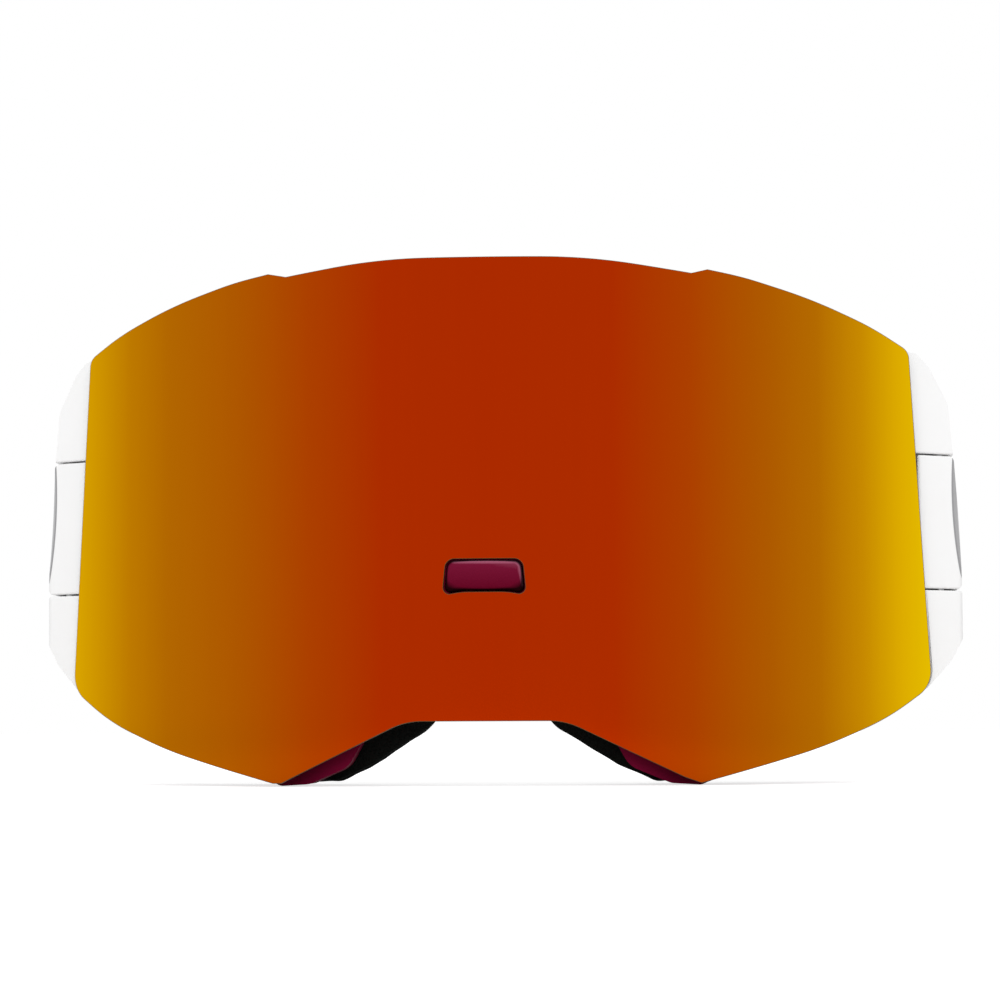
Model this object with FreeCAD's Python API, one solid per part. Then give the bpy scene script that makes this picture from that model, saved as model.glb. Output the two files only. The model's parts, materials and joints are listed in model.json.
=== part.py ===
"""Ski goggles: a magnetic quick-change cylindrical lens on a moulded frame.

Millimetres. Working axes: X across the face, Y from the lens back to the head, Z up.
Y = 0 is the front of the outer lens, Z = 0 the lowest point of the frame.
Every piece is moved at the end, so that the origin is the middle of the face seat.
"""
import FreeCAD, Part
import math
import os

V = FreeCAD.Vector
UP = V(0, 0, 1)

# ---------------------------------------------------------------- driving dimensions
# Lens: one curvature, about an upright axis
LENS_RADIUS = 108.0
OUTER_LENS_THICK = 1.2
SPACER_THICK = 3.0
INNER_LENS_THICK = 0.8
CARRIER_THICK = 2.0
LENS_SEAT_GAP = 0.3
LENS_CREST = 102.9          # top of the lens at the middle
LENS_STEP_X = 42.9          # the small step in the brow edge
LENS_STEP = 1.0
LENS_ARCH_Z = 12.6          # flat top of the nose arch
LENS_SHOULDER = [(50.5, 99.8), (64.0, 96.2), (76.2, 91.6)]
LENS_TOP_CORNER = (84.0, 87.5)
LENS_LOW_CORNER = (88.3, 19.8)
LENS_CHEEK = [(78.8, 13.5), (65.5, 7.7), (53.0, 3.8)]
LENS_LOBE = (41.2, 0.3)
LENS_ARCH_CORNER = 15.5
LENS_ARCH_ROUND = 14.0

# Frame
FRAME_BROW = [(21.0, 101.9), (50.0, 98.8), (66.0, 94.2)]
FRAME_SIDE_TOP = (78.8, 87.9)
FRAME_SIDE_LOW = (82.0, 22.5)
FRAME_CHIN = [(75.0, 13.6), (52.0, 4.6)]
FRAME_LOBE = (41.8, 0.0)
FRAME_NOSE = [(35.6, 0.4, 4.0), (27.6, 3.8, 5.0), (23.2, 11.5, 6.0), (20.5, 19.0, 6.0)]
FRAME_ARCH = (13.0, 26.0)
FRAME_WALL = 2.2
FRAME_RIM_THICK = 3.0
FRAME_RIM_WIDTH = 6.5
FLANGE_THICK = 1.6
FLANGE_WIDTH = 8.0
FACE_RADIUS = 95.0          # plan curve of the face flange
FLANGE_Y = 22.0             # rear of the face flange at the middle, where the foam sits
SIDE_DRAFT = 0.30           # how far each wall leans in, per mm of depth
BROW_DRAFT = 0.16
CHIN_DRAFT = 0.12
NOSE_DRAFT = 0.16           # the nose opening widens towards the face, most at the arch

# Lens carrier, spacer and magnets
CARRIER_INSET = 0.9
SPACER_WIDTH = 4.5
CARRIER_WIDTH = 5.2
LENS_COVER_MARGIN = 1.6     # how far the stack stays inside the outer lens
MAGNET_RADIUS = 1.8
MAGNET_THICK = 1.4
MAGNET_SKIN = 0.05

# Nose tongue, button and its housing
TONGUE_TOP = 49.0
TONGUE_HALF = 12.5
TONGUE_FOOT = 5.0
TONGUE_FLARE = 1.5          # half-width gained or lost at the foot and the top
TONGUE_CLEAR = 0.8
BUTTON_TOP = 43.7
BUTTON_TOP_HALF = 7.15
BUTTON_LOW = 37.4
BUTTON_LOW_HALF = 7.75
BUTTON_ARCH = 0.6           # rise of the hollow lower edge
BUTTON_ARCH_REACH = 3.2     # from the lower corner to where the edge has risen
BUTTON_GAP = 0.35           # gap round the button in the lens
BUTTON_PROUD = 0.6
BUTTON_CROWN_UP = 11.0      # radii of the crowned front, up and down and across
BUTTON_CROWN_ACROSS = 60.0
BUTTON_ROUND = 0.9
BUTTON_TRAVEL = 2.0
BUTTON_FIT = 0.15
HOUSING_GAP = 0.7           # housing front behind the outer lens
HOUSING_WALL = 1.2
HOUSING_MARGIN = 2.8        # housing outside the button, all round
HOUSING_SEAT_FIT = 0.05     # clearance of inserts in the frame
FLANGE_LIP = 1.2            # button flange past the button's head
FLANGE_PLAY = 0.15          # between the button flange and the housing front
SPRING_RADIUS = 2.2
SPRING_WIRE = 0.5
SPRING_TURNS = 4
SPRING_SHUT = 3.25          # room left for the spring when the button is pressed
SPIGOT_SHORT = 0.85         # spigot end clear of the rear wall when pressed
SPIGOT_FIT = 0.3            # spigot inside the coil

# Face foam, three layers on the flange
FOAM_RING = 10.0
FOAM_BASE_THICK = 6.0
FOAM_SOFT_THICK = 7.0
FLEECE_THICK = 2.0
FOAM_EDGE = 0.8             # foam edge inside the frame's edge
FOAM_NOSE = [(41.3, 1.5, 4.0), (31.2, 1.6, 4.0), (23.4, 4.3, 8.0), (10.2, 11.9, 8.0)]
FOAM_ARCH = (4.5, 20.0)

# Vents
VENT_LENGTH = 13.0
VENT_WIDTH = 4.6
BROW_VENT_ANGLES = [10.5 * k for k in range(-3, 4)]
CHIN_VENT_ANGLES = [-43.0, -33.5, 33.5, 43.0]
VENT_FOAM_THICK = 2.0
BROW_VENT_FOAM_HALF = 62.0
CHIN_VENT_FOAM = (47.0, 74.0)

# Side covers and outriggers
COVER_REAR = 68.0
COVER_WALL_GAP = 0.1
COVER_LENS_GAP = 0.4
STACK_ROOM = 1.5            # room beside the lens stack, so that it lifts out freely
SEAM = 0.35                 # gap between cover and outrigger
OUTRIGGER_LOW = 39.5
OUTRIGGER_TOP = 66.8
HINGE_X = 90.3
HINGE_Y = 53.4
HINGE_PIN_RADIUS = 1.0
HINGE_FIT = 0.05
PIN_BITE = 5.0              # pin length in each prong of the cover
SWING_ROOM = 2.0            # web of the cover beside the frame
SIDE_CORNER = (95.0, 53.2, 2.2)      # plan: front outer corner
SIDE_BULGE = (95.4, 58.0, 0)         # plan: widest point
SIDE_INNER = 74.0                    # inside the frame wall
SIDE_MIDDLE = (94.6, 55.0, 0)        # front view: points of the outer edge
SIDE_BELLY = 95.1
EDGE_ROUND = 0.45           # moulded edges of covers, outriggers and sliders
WING_LOW = 10.0
WING_TOP = 95.0
SCOOP_LENGTH = 22.5         # tapered facet on the outrigger's front edge
SCOOP_DEPTH = 0.5
SCOOP_Z = 52.6
SCOOP_EDGE = (94.65, 53.7)  # plan: the edge that the facet takes off
SCREW_RADIUS = 1.0
SCREW_HEAD_RADIUS = 1.9
SCREW_HEAD_THICK = 1.1
SCREW_LENGTH = 5.0
SCREW_HEIGHTS = (31.0, 74.0)
SCREW_Y = 54.0
SCREW_FIT = 0.05

# Strap
STRAP_WIDTH = 40.0
STRAP_THICK = 1.8
STRAP_MID_Z = 52.3
STRAP_X = 91.5              # middle of the outer layer
STRAP_CLEAR = 0.3
STRAP_STRAIGHT_END = 135.0
REAR_GAP = 0.3
BAR_THICK = 1.4
BAR_FRONT = 78.2
BAR_DEPTH = 4.0
LOOP_RAIL = 3.4
WINDOW_FRONT = 74.5
SLIDER_Y = 118.0
SLIDER_LENGTH = 18.0
SLIDER_BAR = 3.0
SLIDER_RAIL = 3.0
SLIDER_OUTER_BAR = 1.4
SLIDER_CORNER = 2.5
GRIP_THICK = 0.5
GRIP_WIDTH = 3.0
GRIP_PITCH = 10.0
GRIP_ROWS = (-1, 0, 1)
GRIP_ANGLES = (24.0, 86.0)

# Face seat, the reference point of the part
SEAT_Y = 60.0
SEAT_Z = 52.0

HIGH = 130.0                # taller and deeper than everything
DEEP = 80.0

# ---------------------------------------------------------------- worked-out values
LENS_AXIS_Y = LENS_RADIUS
SPACER_FRONT_R = LENS_RADIUS - OUTER_LENS_THICK
INNER_LENS_R = SPACER_FRONT_R - SPACER_THICK
CARRIER_R = INNER_LENS_R - INNER_LENS_THICK
CARRIER_REAR_R = CARRIER_R - CARRIER_THICK
SEAT_R = CARRIER_REAR_R - LENS_SEAT_GAP
RIM_REAR_R = SEAT_R - FRAME_RIM_THICK
FACE_AXIS_Y = FLANGE_Y + FACE_RADIUS
CARRIER_MAGNET_R = CARRIER_REAR_R + MAGNET_SKIN
FRAME_MAGNET_R = SEAT_R - MAGNET_THICK - MAGNET_SKIN
BUTTON_MID_Z = (BUTTON_TOP + BUTTON_LOW) / 2.0
HOUSING_FRONT = OUTER_LENS_THICK + HOUSING_GAP
FLANGE_FRONT = HOUSING_FRONT + HOUSING_WALL + FLANGE_PLAY
SPRING_FRONT = FLANGE_FRONT + HOUSING_WALL
SPRING_REAR = SPRING_FRONT + BUTTON_TRAVEL + SPRING_SHUT
HOUSING_REAR = SPRING_REAR + HOUSING_WALL
STRAP_LOW = STRAP_MID_Z - STRAP_WIDTH / 2.0
STRAP_HIGH = STRAP_MID_Z + STRAP_WIDTH / 2.0
STRAP_INNER = STRAP_X - STRAP_THICK / 2.0
STRAP_OUTER = STRAP_X + STRAP_THICK / 2.0
BAR_OUTER = STRAP_INNER - STRAP_CLEAR       # outer face of the outrigger's bar
LOOP_REAR = BAR_FRONT + BAR_DEPTH


# ---------------------------------------------------------------- outlines
def both_sides(right_half):
    """The closed outline from its right half, listed from the top round to the bottom."""
    left_half = [(-x, z, r) for x, z, r in reversed(right_half)]
    return right_half + left_half


def unit(a, b):
    dx = b[0] - a[0]
    dz = b[1] - a[1]
    size = math.hypot(dx, dz)
    return dx / size, dz / size, size


def inset(outline, distance):
    """The outline with every edge moved inwards (clockwise outlines)."""
    moved = []
    count = len(outline)
    for i, (x, z, r) in enumerate(outline):
        ax, az, _ = unit(outline[i - 1], outline[i])
        bx, bz, _ = unit(outline[i], outline[(i + 1) % count])
        turn = ax * bz - az * bx
        along = ax * bx + az * bz
        scale = distance / (1.0 + along)
        nx = (az + bz) * scale
        nz = -(ax + bx) * scale
        if r:
            r = max(r - distance if turn < 0 else r + distance, 0.4)
        moved.append((x + nx, z + nz, r))
    return moved


def rounded_wire(outline, place):
    """A wire of straight runs and tangent arcs. place turns (x, z) into a point.

    A corner with no radius gets the largest arc that its two edges allow.
    """
    count = len(outline)
    arcs = []
    for i, (x, z, r) in enumerate(outline):
        ax, az, before = unit(outline[i - 1], outline[i])
        bx, bz, after = unit(outline[i], outline[(i + 1) % count])
        half_turn = 0.5 * math.acos(max(-1.0, min(1.0, ax * bx + az * bz)))
        room = 0.45 * min(before, after)
        cut = min(r * math.tan(half_turn), room) if r else room
        start = (x - ax * cut, z - az * cut)
        end = (x + bx * cut, z + bz * cut)
        sagitta = cut * math.tan(half_turn / 2.0)
        mid_x = (start[0] + end[0]) / 2.0
        mid_z = (start[1] + end[1]) / 2.0
        reach = math.hypot(x - mid_x, z - mid_z)
        share = sagitta * math.cos(half_turn) / reach
        middle = (mid_x + (x - mid_x) * share, mid_z + (z - mid_z) * share)
        arcs.append((place(start), place(middle), place(end)))
    edges = []
    for i, (start, middle, end) in enumerate(arcs):
        edges.append(Part.Arc(start, middle, end).toShape())
        edges.append(Part.LineSegment(end, arcs[(i + 1) % count][0]).toShape())
    return Part.Wire(edges)


def wire_at(outline, y):
    return rounded_wire(outline, lambda p: V(p[0], y, p[1]))


def prism(outline, front=-20.0, rear=DEEP):
    """The outline carried straight back, from front to rear."""
    face = Part.Face(wire_at(outline, front))
    return face.extrude(V(0, rear - front, 0))


def plan_prism(outline, low, high):
    """A plan outline (x, y) raised from low to high."""
    wire = rounded_wire(outline, lambda p: V(p[0], p[1], low))
    return Part.Face(wire).extrude(V(0, 0, high - low))


def block(x0, x1, y0, y1, z0, z1):
    return Part.makeBox(x1 - x0, y1 - y0, z1 - z0, V(x0, y0, z0))


def disc(x, y, radius, z0=-10.0, z1=HIGH):
    return Part.makeCylinder(radius, z1 - z0, V(x, y, z0))


def mirrored(shape):
    return shape.mirror(V(0, 0, 0), V(1, 0, 0))


# ---------------------------------------------------------------- curved layers
def lens_disc(radius):
    """Everything inside the lens curve of this radius, front half."""
    return disc(0, LENS_AXIS_Y, radius)


def lens_layer(shape, outer, inner):
    """The part of shape between two lens curves, on the front side."""
    front = shape.common(lens_disc(outer))
    return front.cut(lens_disc(inner)).common(block(-HIGH, HIGH, -30, LENS_AXIS_Y, -10, HIGH))


def face_disc(step_back):
    """The space behind the face surface, step_back behind the flange's rear."""
    return disc(0, FACE_AXIS_Y, FACE_RADIUS - step_back)


def face_layer(shape, front, rear):
    """The part of shape between two face surfaces."""
    ahead = face_disc(front).common(block(-HIGH, HIGH, -30, FACE_AXIS_Y, -10, HIGH))
    return shape.common(ahead).cut(face_disc(rear))


def lens_y(x, radius):
    """Depth of a lens curve of this radius at x."""
    return LENS_AXIS_Y - math.sqrt(radius ** 2 - x ** 2)


def drift(x, z):
    """How the walls lean in towards the face, per mm of depth."""
    dx = -math.copysign(SIDE_DRAFT, x) if abs(x) > FRAME_SIDE_TOP[0] - 2 else 0.0
    if z > SEAT_Z:
        return dx, -BROW_DRAFT
    if abs(x) > FRAME_LOBE[0] + 5:
        return dx, CHIN_DRAFT
    flare = max(0.0, 1.0 - abs(x) / FRAME_LOBE[0])
    return math.copysign(NOSE_DRAFT * flare, x), 0.0


def leaning(outline):
    """A ruled solid whose section is the outline where it meets the lens seat."""
    ends = []
    for y in (-5.0, DEEP):
        section = []
        for x, z, r in outline:
            dx, dz = drift(x, z)
            depth = y - lens_y(x, SEAT_R)
            section.append((x + dx * depth, z + dz * depth, r))
        ends.append(wire_at(section, y))
    return Part.makeLoft(ends, True, True)


# ---------------------------------------------------------------- outlines of the object
def soft(points):
    """Outline corners that get the largest arc they allow."""
    return [point + (0,) for point in points]


def lens_outline(with_step=True):
    step_foot = LENS_STEP_X - 2.1
    brow_end = LENS_CREST - 2.8
    brow = [(LENS_STEP_X / 2.1, LENS_CREST, 0)]
    if with_step:
        brow += [(step_foot, brow_end, 1.2), (LENS_STEP_X, brow_end + LENS_STEP, 1.0)]
    else:
        brow += [(step_foot, brow_end + 0.3, 0)]
    shoulder = soft(LENS_SHOULDER) + [LENS_TOP_CORNER + (2.5,)]
    cheek = [LENS_LOW_CORNER + (6.0,)] + soft(LENS_CHEEK)
    nose = [LENS_LOBE + (1.6,), (LENS_ARCH_CORNER, LENS_ARCH_Z, LENS_ARCH_ROUND)]
    return both_sides(brow + shoulder + cheek + nose)


def frame_outline():
    side = [FRAME_SIDE_TOP + (5.0,), FRAME_SIDE_LOW + (7.0,)]
    chin = soft(FRAME_CHIN) + [FRAME_LOBE + (4.0,)]
    return both_sides(soft(FRAME_BROW) + side + chin + FRAME_NOSE + [FRAME_ARCH + (7.0,)])


def foam_outline():
    """The foam follows the frame, and reaches further in at the nose."""
    shared = len(FRAME_BROW) + len(FRAME_CHIN) + 2
    follow = inset(frame_outline(), FOAM_EDGE)[:shared]
    return both_sides(follow + FOAM_NOSE + [FOAM_ARCH + (6.0,)])


def tongue_outline(grow):
    """The raised middle of the frame's rim, which carries the button."""
    top = TONGUE_TOP + grow
    half = TONGUE_HALF + grow
    return both_sides([(half - TONGUE_FLARE, top, 3.0), (half + TONGUE_FLARE, TONGUE_FOOT, 1.0)])


def button_outline(grow):
    right = [
        (BUTTON_TOP_HALF, BUTTON_TOP, 1.5),
        (BUTTON_LOW_HALF, BUTTON_LOW, 1.3),
        (BUTTON_LOW_HALF - BUTTON_ARCH_REACH, BUTTON_LOW + BUTTON_ARCH, 0),
    ]
    return inset(both_sides(right), -grow)


def magnet_places():
    """Middles of the long edges of the lens seat, clear of the nose."""
    track = inset(frame_outline(), FRAME_RIM_WIDTH / 2.0)
    places = []
    for i in (-1, 0, 2, 3, 5):
        a = track[i]
        b = track[i + 1]
        places.append(((a[0] + b[0]) / 2.0, (a[1] + b[1]) / 2.0))
    return places + [(-x, z) for x, z in places if abs(x) > 1.0]


# ---------------------------------------------------------------- lens assembly
def stack_prism():
    """What the spacer, inner lens and carrier are cut from."""
    seat = prism(inset(frame_outline(), CARRIER_INSET))
    return seat.common(prism(inset(lens_outline(False), LENS_COVER_MARGIN)))


def stack_ring(width):
    """A ring of the stack, which also runs round the tongue."""
    window = prism(inset(frame_outline(), CARRIER_INSET + width))
    window = window.cut(prism(tongue_outline(TONGUE_CLEAR + width * 0.6)))
    return stack_prism().cut(window).cut(prism(tongue_outline(TONGUE_CLEAR)))


def outer_lens():
    sheet = lens_layer(prism(lens_outline()), LENS_RADIUS, SPACER_FRONT_R)
    return sheet.cut(prism(button_outline(BUTTON_GAP)))


def lens_spacer():
    return lens_layer(stack_ring(SPACER_WIDTH), SPACER_FRONT_R, INNER_LENS_R)


def inner_lens():
    sheet = stack_prism().cut(prism(tongue_outline(TONGUE_CLEAR)))
    return lens_layer(sheet, INNER_LENS_R, CARRIER_R)


def magnet(x, z, rear_r):
    """A disc magnet set square to the lens curve, its rear face at rear_r."""
    angle = math.asin(x / rear_r)
    outward = V(math.sin(angle), -math.cos(angle), 0)
    foot = V(0, LENS_AXIS_Y, z) + outward * rear_r
    return Part.makeCylinder(MAGNET_RADIUS, MAGNET_THICK, foot, outward)


def magnets(rear_r):
    return Part.makeCompound([magnet(x, z, rear_r) for x, z in magnet_places()])


def lens_carrier():
    ring = lens_layer(stack_ring(CARRIER_WIDTH), CARRIER_R, CARRIER_REAR_R)
    return ring.cut(magnets(CARRIER_MAGNET_R))


# ---------------------------------------------------------------- frame
def vent(angle, z0, z1):
    """An upright slot through a wall, square to the lens curve."""
    half = (VENT_LENGTH - VENT_WIDTH) / 2.0
    r = VENT_WIDTH / 2.0
    slot = block(-half, half, -r, r, z0, z1)
    slot = slot.fuse(disc(-half, 0, r, z0, z1)).fuse(disc(half, 0, r, z0, z1))
    x = RIM_REAR_R * math.sin(math.radians(angle))
    front = lens_y(x, RIM_REAR_R)
    rear = FACE_AXIS_Y - math.sqrt((FACE_RADIUS + FLANGE_THICK) ** 2 - x ** 2)
    slot.rotate(V(0, 0, 0), UP, angle)
    slot.translate(V(x, (front + rear) / 2.0, 0))
    return slot


def vents():
    brow = [vent(a, SEAT_Z, HIGH) for a in BROW_VENT_ANGLES]
    chin = [vent(a, -10.0, SEAT_Z - 20.0) for a in CHIN_VENT_ANGLES]
    return Part.makeCompound(brow + chin)


def frame_space(shape):
    """Keeps what lies between the lens seat and the front of the face flange."""
    return shape.common(lens_disc(SEAT_R)).cut(face_disc(-FLANGE_THICK))


def cover_screw(z, grow=0.0):
    """A pan-head screw, driven square through the leaning side wall."""
    lean = math.atan(SIDE_DRAFT)
    out = V(math.cos(lean), math.sin(lean), 0)
    wall_x = FRAME_SIDE_LOW[0] - SIDE_DRAFT * (SCREW_Y - lens_y(FRAME_SIDE_LOW[0], SEAT_R))
    wall_x = wall_x - (FRAME_SIDE_LOW[0] - FRAME_SIDE_TOP[0]) * (z - FRAME_SIDE_LOW[1]) / (
        FRAME_SIDE_TOP[1] - FRAME_SIDE_LOW[1])
    inner = V(wall_x, SCREW_Y, z) - out * (FRAME_WALL + 0.2)
    shaft = Part.makeCylinder(SCREW_RADIUS + grow, SCREW_LENGTH + grow, inner, out)
    head = Part.makeCylinder(SCREW_HEAD_RADIUS + grow, SCREW_HEAD_THICK, inner - out * SCREW_HEAD_THICK, out)
    return shaft.fuse(head)


def cover_screws(grow=0.0):
    right = [cover_screw(z, grow) for z in SCREW_HEIGHTS]
    return Part.makeCompound(right + [mirrored(s) for s in right])


def housing_box(grow=0.0):
    """The outside of the button housing, from just behind the outer lens."""
    outline = both_sides([
        (BUTTON_LOW_HALF + HOUSING_MARGIN, BUTTON_TOP + HOUSING_MARGIN, 2.0),
        (BUTTON_LOW_HALF + HOUSING_MARGIN, BUTTON_LOW - HOUSING_MARGIN, 2.0),
    ])
    return prism(inset(outline, -grow), HOUSING_FRONT, HOUSING_REAR)


def frame():
    """The moulded frame: the rim that the lens sits on, and the leaning wall with its vents."""
    outline = frame_outline()
    body = frame_space(leaning(outline))
    rim_hole = prism(inset(outline, FRAME_RIM_WIDTH)).cut(prism(tongue_outline(0.0)))
    wall = body.cut(leaning(inset(outline, FRAME_WALL)))
    rim = lens_layer(body, SEAT_R, RIM_REAR_R).cut(rim_hole)
    whole = wall.fuse(rim).cut(vents()).cut(magnets(FRAME_MAGNET_R))
    return whole.cut(housing_box(HOUSING_SEAT_FIT)).cut(cover_screws(SCREW_FIT)).removeSplitter()


def face_flange():
    """The flexible ring bonded to the rear of the wall, which carries the foam."""
    outline = frame_outline()
    ring = leaning(outline).cut(leaning(inset(outline, FLANGE_WIDTH)))
    return face_layer(ring, -FLANGE_THICK, 0.0)


def vent_foam(shape):
    """Open-cell strip against the inside of the wall, behind the vents."""
    outline = frame_outline()
    strip = leaning(inset(outline, FRAME_WALL)).cut(leaning(inset(outline, FRAME_WALL + VENT_FOAM_THICK)))
    strip = strip.common(lens_disc(RIM_REAR_R)).cut(face_disc(-FLANGE_THICK))
    return strip.common(shape)


def brow_vent_foam():
    half = BROW_VENT_FOAM_HALF
    return vent_foam(block(-half, half, -5, DEEP, SEAT_Z, HIGH))


def chin_vent_foam():
    near, far = CHIN_VENT_FOAM
    right = vent_foam(block(near, far, -5, DEEP, -10, SEAT_Z - 20))
    return Part.makeCompound([right, mirrored(right)])


def foam_layer(front, rear):
    outline = foam_outline()
    ring = leaning(outline).cut(leaning(inset(outline, FOAM_RING)))
    return face_layer(ring, front, rear)


# ---------------------------------------------------------------- release button
def button_housing():
    cavity = prism(button_outline(FLANGE_LIP + BUTTON_FIT * 2),
                   HOUSING_FRONT + HOUSING_WALL, HOUSING_REAR - HOUSING_WALL)
    mouth = prism(button_outline(BUTTON_FIT), HOUSING_FRONT - 1, HOUSING_REAR - HOUSING_WALL)
    return housing_box().cut(cavity).cut(mouth)


def button_crown():
    """Torus whose front gives the button its crown, round both ways."""
    middle = V(0, BUTTON_CROWN_ACROSS - BUTTON_PROUD, BUTTON_MID_Z)
    return Part.makeTorus(BUTTON_CROWN_ACROSS - BUTTON_CROWN_UP, BUTTON_CROWN_UP, middle, UP)


def release_button():
    """Crowned head in the lens, with a flange and a spigot for the spring behind it."""
    head = prism(button_outline(0.0), -BUTTON_CROWN_UP / 2.0, FLANGE_FRONT + 0.5 * HOUSING_WALL)
    head = head.common(button_crown())
    rim = [e for e in head.Edges if max(v.Y for v in e.Vertexes) < OUTER_LENS_THICK / 2.0]
    head = head.makeFillet(BUTTON_ROUND, rim)
    flange = prism(button_outline(FLANGE_LIP), FLANGE_FRONT, SPRING_FRONT)
    spigot = Part.makeCylinder(
        SPRING_RADIUS - SPRING_WIRE - SPIGOT_FIT, HOUSING_WALL + SPRING_SHUT - SPIGOT_SHORT,
        V(0, FLANGE_FRONT, BUTTON_MID_Z), V(0, 1, 0))
    return head.fuse([flange, spigot]).removeSplitter()


def button_spring():
    """Square-wire coil between the button's flange and the housing's rear wall."""
    half = SPRING_WIRE / 2.0
    length = SPRING_REAR - SPRING_FRONT - SPRING_WIRE
    radius = SPRING_RADIUS - half
    helix = Part.makeHelix(length / SPRING_TURNS, length, radius)
    corners = [V(radius + a, 0, b) for a, b in ((-half, -half), (half, -half), (half, half), (-half, half))]
    section = Part.makePolygon(corners + corners[:1])
    coil = Part.Wire(helix.Edges).makePipeShell([section], True, True)
    coil.rotate(V(0, 0, 0), V(1, 0, 0), -90)
    coil.translate(V(0, SPRING_FRONT + half, BUTTON_MID_Z))
    return coil


# ---------------------------------------------------------------- side covers and outriggers
def lens_room():
    """Where the outer lens and its stack stand, with clearance, open to the front."""
    shield = prism(inset(lens_outline(False), -COVER_LENS_GAP))
    shield = shield.cut(lens_disc(SPACER_FRONT_R - COVER_LENS_GAP))
    stack = prism(inset(frame_outline(), CARRIER_INSET - STACK_ROOM)).cut(lens_disc(SEAT_R - STACK_ROOM))
    return shield.fuse(stack)


def rounded_slab(plan, low, high, levels):
    """A plan outline raised from low to high, with its edges at these levels rounded."""
    slab = plan_prism(plan, low, high)
    edges = [e for e in slab.Edges if e.BoundBox.ZLength < 0.01
             and min(abs(e.BoundBox.ZMin - level) for level in levels) < 0.01]
    return slab.makeFillet(EDGE_ROUND, edges)


def side_plan():
    """Plan of the side piece: front face, outer side and back to the frame wall."""
    return [
        (80.5, 41.8, 1.0), SIDE_CORNER, SIDE_BULGE, (SIDE_BULGE[0] - 1.2, COVER_REAR, 2.0),
        (SIDE_INNER, COVER_REAR + 1.0, 1.0), (SIDE_INNER, 50.0, 1.0)]


def side_silhouette():
    """Front view of the whole side, covers and outrigger together."""
    return [
        (80.0, 88.2, 1.0), (85.8, 87.6, 2.5), (88.4, 85.0, 2.0), (92.4, 77.6, 4.0), (93.4, 67.0, 0),
        SIDE_MIDDLE, (SIDE_BELLY, 41.0, 0), (SIDE_BELLY + 0.2, 29.6, 3.0), (92.5, 24.6, 6.0),
        (87.2, 18.9, 2.0), (SIDE_INNER, 16.0, 1.0), (SIDE_INNER, 86.0, 1.0)]


def side_block():
    """Web beside the frame and the two wings, with room for the outrigger between them."""
    low = OUTRIGGER_LOW - SEAM
    top = OUTRIGGER_TOP + SEAM
    web = plan_prism(side_plan(), WING_LOW, WING_TOP)
    web = web.common(block(0, FRAME_SIDE_LOW[0] + SWING_ROOM, 0, DEEP, WING_LOW, WING_TOP))
    lower = rounded_slab(side_plan(), WING_LOW, low, [low])
    upper = rounded_slab(side_plan(), top, WING_TOP, [top])
    return web.fuse([lower, upper]).common(prism(side_silhouette()))


def hinge_pin(grow=0.0):
    low = OUTRIGGER_LOW - PIN_BITE
    high = OUTRIGGER_TOP + PIN_BITE
    return disc(HINGE_X, HINGE_Y, HINGE_PIN_RADIUS + grow, low - grow, high + grow)


def side_cover():
    body = side_block().cut(lens_room())
    body = body.cut(leaning(inset(frame_outline(), -COVER_WALL_GAP))).cut(hinge_pin())
    return body.cut(Part.makeCompound([cover_screw(z) for z in SCREW_HEIGHTS]))


def arm_plan():
    """Plan of the outrigger's arm, thicker round the hinge pin."""
    return [
        (85.7, 45.9, 0.5), SIDE_CORNER, SIDE_BULGE, (SIDE_BULGE[0] - 1.2, COVER_REAR - 1.0, 0),
        (92.4, WINDOW_FRONT, 0.8), (88.0, WINDOW_FRONT, 0.8), (87.4, 60.0, 0), (86.2, 51.5, 0)]


def arm_silhouette():
    """Front view of the arm, with small rounds at its outer corners."""
    low = OUTRIGGER_LOW
    top = OUTRIGGER_TOP
    return [(84.9, top, 0.5), (93.5, top, 1.2), SIDE_MIDDLE, (SIDE_BELLY, low, 1.2), (86.6, low, 0.5)]


def scoop():
    """Large cylinder that planes a tapered facet off the arm's front outer edge."""
    radius = SCOOP_LENGTH ** 2 / (8.0 * SCOOP_DEPTH)
    out = V(0.96, -0.28, 0.06).normalize()
    across = V(0.96, -0.28, 0).cross(UP).normalize() * -1.0
    edge = V(SCOOP_EDGE[0], SCOOP_EDGE[1], SCOOP_Z)
    centre = edge + out * (radius - SCOOP_DEPTH)
    reach = SCOOP_LENGTH / 2.0
    return Part.makeCylinder(radius, 2.0 * reach, centre - across * reach, across)


def strap_loop():
    """The flared end with the window and the bar that the strap goes round."""
    low = STRAP_LOW - STRAP_CLEAR
    high = STRAP_HIGH + STRAP_CLEAR
    neck = WINDOW_FRONT - 1.0
    flare = [
        (COVER_REAR + 0.8, OUTRIGGER_TOP, 2.0), (neck, high + LOOP_RAIL, 3.0),
        (LOOP_REAR, high + LOOP_RAIL, 2.0), (LOOP_REAR, low - LOOP_RAIL, 2.0),
        (neck, low - LOOP_RAIL, 3.0), (COVER_REAR + 0.8, OUTRIGGER_LOW, 2.0)]
    wire = rounded_wire(flare, lambda p: V(80.0, p[0], p[1]))
    plate = Part.Face(wire).extrude(V(20, 0, 0))
    inner = BAR_OUTER - BAR_THICK
    thick = [
        (88.0, COVER_REAR, 0.5), (94.0, COVER_REAR, 0.5), (92.4, WINDOW_FRONT, 2.0),
        (BAR_OUTER + 0.6, BAR_FRONT, 2.0), (BAR_OUTER, LOOP_REAR, 0.5),
        (inner, LOOP_REAR, 0.5), (inner - 0.6, BAR_FRONT, 2.0), (88.0, WINDOW_FRONT, 2.0)]
    plate = plate.common(plan_prism(thick, 0.0, HIGH))
    plate = plate.cut(block(80, 100, WINDOW_FRONT, BAR_FRONT, low, high))
    plate = plate.cut(block(BAR_OUTER, 100, BAR_FRONT - 1, LOOP_REAR + 1, low, high))
    return plate.cut(block(80, inner, BAR_FRONT - 1, LOOP_REAR + 1, low, high))


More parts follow.
